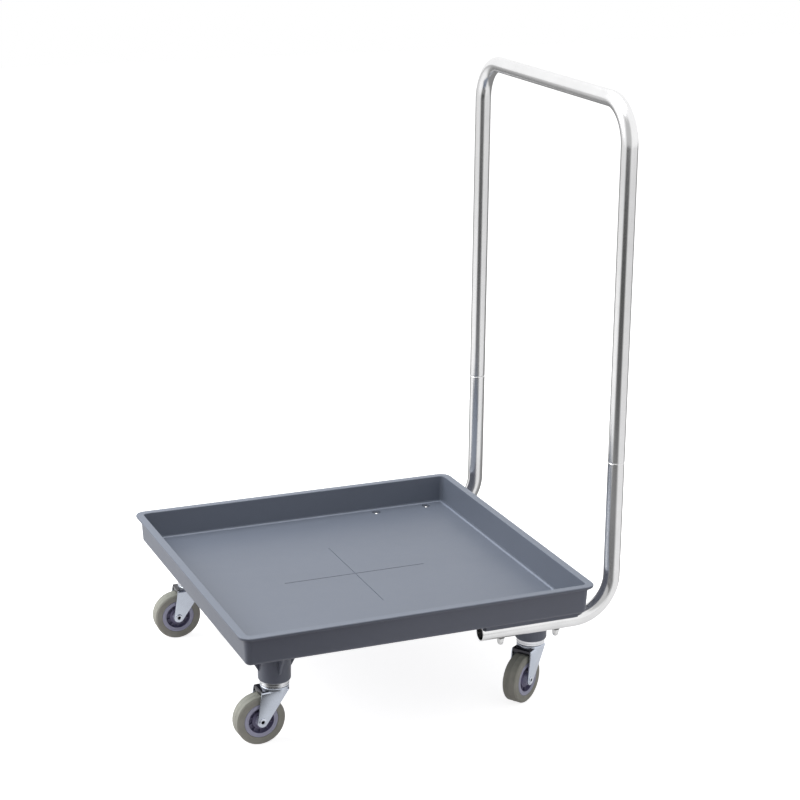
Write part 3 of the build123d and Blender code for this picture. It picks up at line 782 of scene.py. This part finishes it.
def fork_lip(bm):
    """The crown's front edge, folded down between the legs."""
    top = FORK_TOP_Z - LIP_SINK
    back = FORK_FRONT - FORK_T
    outline = soft_line([(LIP_ROOT_Y, top, 0), (FORK_FRONT, top, LIP_BEND), (FORK_FRONT, LIP_Z, LIP_EDGE),
                         (back, LIP_Z, LIP_EDGE), (back, LIP_BACK_Z, 0.6), (LIP_ROOT_Y, LIP_ROOT_Z, 0)], 5)
    half = LEG_INNER + LIP_SIDE
    ends = [[bm.verts.new((x, y, z)) for y, z in outline] for x in (half, -half)]
    ring_faces(bm, ends, False)
    bm.faces.new(ends[0])
    bm.faces.new(ends[1])


def fork_dome(bm):
    """The pressed dome under the ball race; its skirt reaches further down at the rear than at the front."""
    rings = []
    inner = DOME_R - FORK_T
    for k in range(DOME_STEPS):
        a = 2 * math.pi * k / DOME_STEPS
        rear = min(max(0.5 - math.sin(a) * SKIRT_SLOPE, 0.0), 1.0)
        rear = rear * rear * (3 - 2 * rear)
        base = SKIRT_FRONT_Z + (SKIRT_REAR_Z - SKIRT_FRONT_Z) * rear
        outline = soft_line([(DOME_EYE_R, DOME_Z - DOME_EYE_SINK, 0), (DOME_FLAT_R, DOME_Z, 0.5),
                             (DOME_R, DOME_Z, 1.5), (DOME_R, base, 0.7), (inner, base, 0.7),
                             (inner, DOME_Z - FORK_T, 0.8), (DOME_EYE_R, DOME_Z - FORK_T, 0)])
        rings.append([bm.verts.new(around(r, a, z)) for r, z in outline])
    ring_faces(bm, rings, True)


def fork_piece(name, place):
    """Pressed fork with its folded lip, its dome and its axle holes."""
    bm = bmesh.new()
    fork_sheet(bm)
    fork_lip(bm)
    fork_dome(bm)
    fork = build(name + "_pressed_fork", bm, name + "_swivel", "fork_zinc", place, sharp=FORK_SHARP)
    drill(fork, AXLE_BORE_R, AXLE_DRILL, place @ AXLE_TURN, FORK_SHARP)
    return fork


def caster_pieces(name):
    """Fork, tyre, core, rivet and race ring of one caster."""
    place = caster_place(name)
    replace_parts(fork_piece(name, place), name + "_fork")
    wheel = place @ AXLE_TURN
    bm = bmesh.new()
    lathe(bm, soft_line(both_sides(TYRE_SIDE)), 128)
    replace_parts(build(name + "_rolling_tyre", bm, name + "_wheel", "tyre_rubber", wheel), name + "_tyre")
    bm = bmesh.new()
    lathe(bm, soft_line(both_sides(CORE_SIDE)), 96)
    for k in range(RIBS):
        wheel_rib(bm, 2 * math.pi * k / RIBS)
    core = build(name + "_ribbed_core", bm, name + "_wheel", "core_plastic", wheel)
    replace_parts(core, name + "_wheel_core")
    bm = bmesh.new()
    lathe(bm, soft_line(both_sides(AXLE_SIDE)), 48)
    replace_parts(build(name + "_rivet", bm, name + "_swivel", "zinc", wheel), name + "_axle")
    bm = bmesh.new()
    lathe(bm, soft_line(RACE_RING), 96)
    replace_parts(build(name + "_race_ring", bm, "cart", "race_chrome", place), name + "_race_cap")


handle_pieces()
fastener_pieces()
for caster in CASTERS:
    caster_pieces(caster)


# ------------------------------------------------------------------ floor, light, camera
# What soft light, the camera and reflections (GLOSS) find on the floor and in the studio round it.
WORLD_FILL = 0.50
FLOOR_ALBEDO = 0.70
FLOOR_LIFT = 0.84
FLOOR_GLOSS_ALBEDO = 0.30
FLOOR_GLOSS_LIFT = 0.57
BOUNCE_TINT = (1.03, 0.945, 0.975)
BOUNCE_TOP = 0.5
FLOOR_HALF = 7.0
# The unlit side behind the camera: directions and angles in degrees, distances from the apex in metres.
DARK_AZIMUTH = 53.5
DARK_HALF_ANGLE = 34.0
DARK_SOFT_ANGLE = 9.0
DARK_START = (0.97, 1.12)
DARK_FLOOR_HALF_ANGLE = 25.0
DARK_TOP = (0.70, 0.97)
DARK_NEAR = 0.80
DARK_NEAR_START = (1.20, 1.32)
DARK_FAR = (1.70, 2.20)
DARK_LEVEL = 0.10
DARK_SKY_LEVEL = 0.55
DARK_FILL_LEVEL = 0.45
DARK_APEX = (-0.36, 0.56, 0.0)
# The side behind the cart, where reflections find a greyer floor.
GREY_AZIMUTH = 240.0
GREY_HALF_ANGLE = 52.0
GREY_START = (0.20, 0.45)
GREY_LEVEL = 0.30
GREY_APEX = (0.26, 0.27, 0.0)


def light_ray(tree, *kinds):
    """1 where the ray is one of these kinds of Light Path."""
    path = tree.nodes.new("ShaderNodeLightPath")
    value = path.outputs[kinds[0]]
    for kind in kinds[1:]:
        value = calc(tree, "MAXIMUM", value, path.outputs[kind])
    return value


def unlit_sector(tree, direction, half_angle, azimuth=DARK_AZIMUTH):
    """1 for a direction towards an unlit side of the studio, at any height, and its length that way."""
    flat = vector(tree, "MULTIPLY", direction, (1, 1, 0))
    turn = math.radians(azimuth)
    ahead = vector(tree, "DOT_PRODUCT", flat, (math.sin(turn), -math.cos(turn), 0))
    cosine = calc(tree, "DIVIDE", ahead, vector(tree, "LENGTH", flat))
    outer = math.cos(math.radians(half_angle + DARK_SOFT_ANGLE))
    inner = math.cos(math.radians(half_angle - DARK_SOFT_ANGLE))
    return smooth(tree, cosine, outer, inner), ahead


def tinted(tree, amount):
    """The warm bounce colour where amount is 1, white where it is 0."""
    return blend(tree, amount, (1, 1, 1), BOUNCE_TINT)


def unlit_shade(tree, dark, gloss, level):
    """Light that is left where dark is 1: little in reflections, more in the soft fill."""
    depth = smooth(tree, gloss, 0.0, 1.0, 1.0 - DARK_FILL_LEVEL, 1.0 - level)
    return calc(tree, "SUBTRACT", 1.0, calc(tree, "MULTIPLY", dark, depth))


def studio_world():
    """White to the camera and to reflections, a softer fill elsewhere, one unlit side behind the camera."""
    world = bpy.data.worlds.new("studio")
    scene.world = world
    world.use_nodes = True
    tree = world.node_tree
    tree.nodes.clear()
    out = tree.nodes.new("ShaderNodeOutputWorld")
    sky = tree.nodes.new("ShaderNodeBackground")
    camera = light_ray(tree, "Is Camera Ray")
    gloss = light_ray(tree, "Is Glossy Ray", "Is Transmission Ray")
    direction = tree.nodes.new("ShaderNodeTexCoord").outputs["Generated"]
    sector, _ = unlit_sector(tree, direction, DARK_HALF_ANGLE)
    split = tree.nodes.new("ShaderNodeSeparateXYZ")
    tree.links.new(direction, split.inputs[0])
    below_top = smooth(tree, split.outputs["Z"], *DARK_TOP, 1.0, 0.0)
    shade = unlit_shade(tree, calc(tree, "MULTIPLY", sector, below_top), gloss, DARK_SKY_LEVEL)
    fill = smooth(tree, gloss, 0.0, 1.0, WORLD_FILL, 1.0)
    soft = calc(tree, "SUBTRACT", 1.0, calc(tree, "MAXIMUM", camera, gloss))
    low_sky = smooth(tree, split.outputs["Z"], 0.0, BOUNCE_TOP, 1.0, 0.0)
    tree.links.new(tinted(tree, calc(tree, "MULTIPLY", soft, low_sky)), sky.inputs["Color"])
    tree.links.new(calc(tree, "MAXIMUM", camera, calc(tree, "MULTIPLY", fill, shade)), sky.inputs["Strength"])
    tree.links.new(sky.outputs[0], out.inputs[0])


def floor_place(tree, apex):
    """The shaded floor point, seen from apex."""
    return vector(tree, "SUBTRACT", tree.nodes.new("ShaderNodeNewGeometry").outputs["Position"], apex)


def grey_side(tree, gloss):
    """Light that reflections find on the floor behind the cart, where it lies a little less lit."""
    sector, ahead = unlit_sector(tree, floor_place(tree, GREY_APEX), GREY_HALF_ANGLE, GREY_AZIMUTH)
    grey = calc(tree, "MULTIPLY", sector, smooth(tree, ahead, *GREY_START))
    depth = calc(tree, "MULTIPLY", gloss, 1.0 - GREY_LEVEL)
    return calc(tree, "SUBTRACT", 1.0, calc(tree, "MULTIPLY", grey, depth))


def dark_side(tree, gloss):
    """1 on the unlit floor in front of the cart, 0 elsewhere; its near part is less dark to reflections."""
    sector, ahead = unlit_sector(tree, floor_place(tree, DARK_APEX), DARK_FLOOR_HALF_ANGLE)
    near = calc(tree, "MULTIPLY", smooth(tree, ahead, *DARK_NEAR_START),
                smooth(tree, ahead, *DARK_FAR, 1.0 - DARK_NEAR, 0.0))
    kept = calc(tree, "SUBTRACT", 1.0, calc(tree, "MULTIPLY", near, gloss))
    depth = calc(tree, "MULTIPLY", smooth(tree, ahead, *DARK_START), kept)
    return calc(tree, "MULTIPLY", sector, depth)


def studio_floor():
    """Pale floor: white to the camera apart from the soft shadow, with an unlit part in front of the cart."""
    mesh = bpy.data.meshes.new("floor")
    h = FLOOR_HALF
    mesh.from_pydata([(-h, -h, 0), (h, -h, 0), (h, h, 0), (-h, h, 0)], [], [(0, 1, 2, 3)])
    floor = bpy.data.objects.new("floor", mesh)
    scene.collection.objects.link(floor)
    mat = bpy.data.materials.new("floor_white")
    mat.use_nodes = True
    tree = mat.node_tree
    tree.nodes.clear()
    out = tree.nodes.new("ShaderNodeOutputMaterial")
    diffuse = tree.nodes.new("ShaderNodeBsdfDiffuse")
    glow = tree.nodes.new("ShaderNodeEmission")
    add = tree.nodes.new("ShaderNodeAddShader")
    camera = light_ray(tree, "Is Camera Ray")
    gloss = light_ray(tree, "Is Glossy Ray", "Is Transmission Ray")
    unseen = calc(tree, "SUBTRACT", 1.0, camera)
    shade = unlit_shade(tree, calc(tree, "MULTIPLY", dark_side(tree, gloss), unseen), gloss, DARK_LEVEL)
    shade = calc(tree, "MULTIPLY", shade, grey_side(tree, gloss))
    albedo = calc(tree, "MULTIPLY", shade,
                  smooth(tree, gloss, 0.0, 1.0, FLOOR_ALBEDO, FLOOR_GLOSS_ALBEDO))
    tint = tinted(tree, calc(tree, "SUBTRACT", unseen, gloss))
    tree.links.new(vector(tree, "MULTIPLY", tint, albedo), diffuse.inputs["Color"])
    lift = calc(tree, "ADD", calc(tree, "MULTIPLY", camera, FLOOR_LIFT),
                calc(tree, "MULTIPLY", gloss, FLOOR_GLOSS_LIFT))
    tree.links.new(calc(tree, "MULTIPLY", lift, shade), glow.inputs["Strength"])
    tree.links.new(diffuse.outputs[0], add.inputs[0])
    tree.links.new(glow.outputs[0], add.inputs[1])
    tree.links.new(add.outputs[0], out.inputs[0])
    mesh.materials.append(mat)


def softbox(name, place, side, power):
    """A square area lamp that faces the cart."""
    data = bpy.data.lights.new(name, "AREA")
    data.shape = "RECTANGLE"
    data.size = data.size_y = side
    data.energy = power
    lamp = bpy.data.objects.new(name, data)
    scene.collection.objects.link(lamp)
    lamp.location = place
    lamp.rotation_euler = (Vector(CENTRE) - Vector(place)).to_track_quat("-Z", "Y").to_euler()


def polar(azimuth, elevation, distance):
    """A point seen from the cart at a camera azimuth, where 0 looks along +Y and 90 along -X."""
    a, e = math.radians(azimuth), math.radians(elevation)
    return Vector((math.sin(a) * math.cos(e), -math.cos(a) * math.cos(e), math.sin(e))) * distance


CAMERA_AZIMUTH = 67.2226
CAMERA_PITCH = 16.8857
CAMERA_ROLL = 0.592
CAMERA_PLACE = (2797.5 * MM, -1127.55 * MM, 1350.5 * MM)
FOCAL_PIXELS = 2050.53
FRAME_PIXELS = 800
SENSOR_WIDTH = 36.0
FAR_CLIP = 50.0


def photo_camera():
    """The photo's camera, solved from the tray's rim, the cross in its floor and the uprights."""
    az, pitch, roll = (math.radians(v) for v in (CAMERA_AZIMUTH, CAMERA_PITCH, CAMERA_ROLL))
    forward = Vector((-math.sin(az) * math.cos(pitch), math.cos(az) * math.cos(pitch), -math.sin(pitch)))
    right = Vector((math.cos(az), math.sin(az), 0))
    up = right.cross(forward)
    rolled_right = right * math.cos(roll) + up * math.sin(roll)
    rolled_up = up * math.cos(roll) - right * math.sin(roll)
    data = bpy.data.cameras.new("camera")
    data.sensor_width = SENSOR_WIDTH
    data.lens = FOCAL_PIXELS / FRAME_PIXELS * SENSOR_WIDTH
    data.clip_end = FAR_CLIP
    camera = bpy.data.objects.new("camera", data)
    scene.collection.objects.link(camera)
    turn = Matrix((rolled_right, rolled_up, -forward)).transposed().to_4x4()
    camera.matrix_world = Matrix.Translation(CAMERA_PLACE) @ turn
    scene.camera = camera


CENTRE = (0, 0, 0.25)
studio_world()
studio_floor()
softbox("top", (-0.35, -0.15, 2.7), 2.2, 50)
softbox("left", polar(-25, 40, 2.8), 1.6, 40)
photo_camera()
scene.view_settings.view_transform = "Standard"
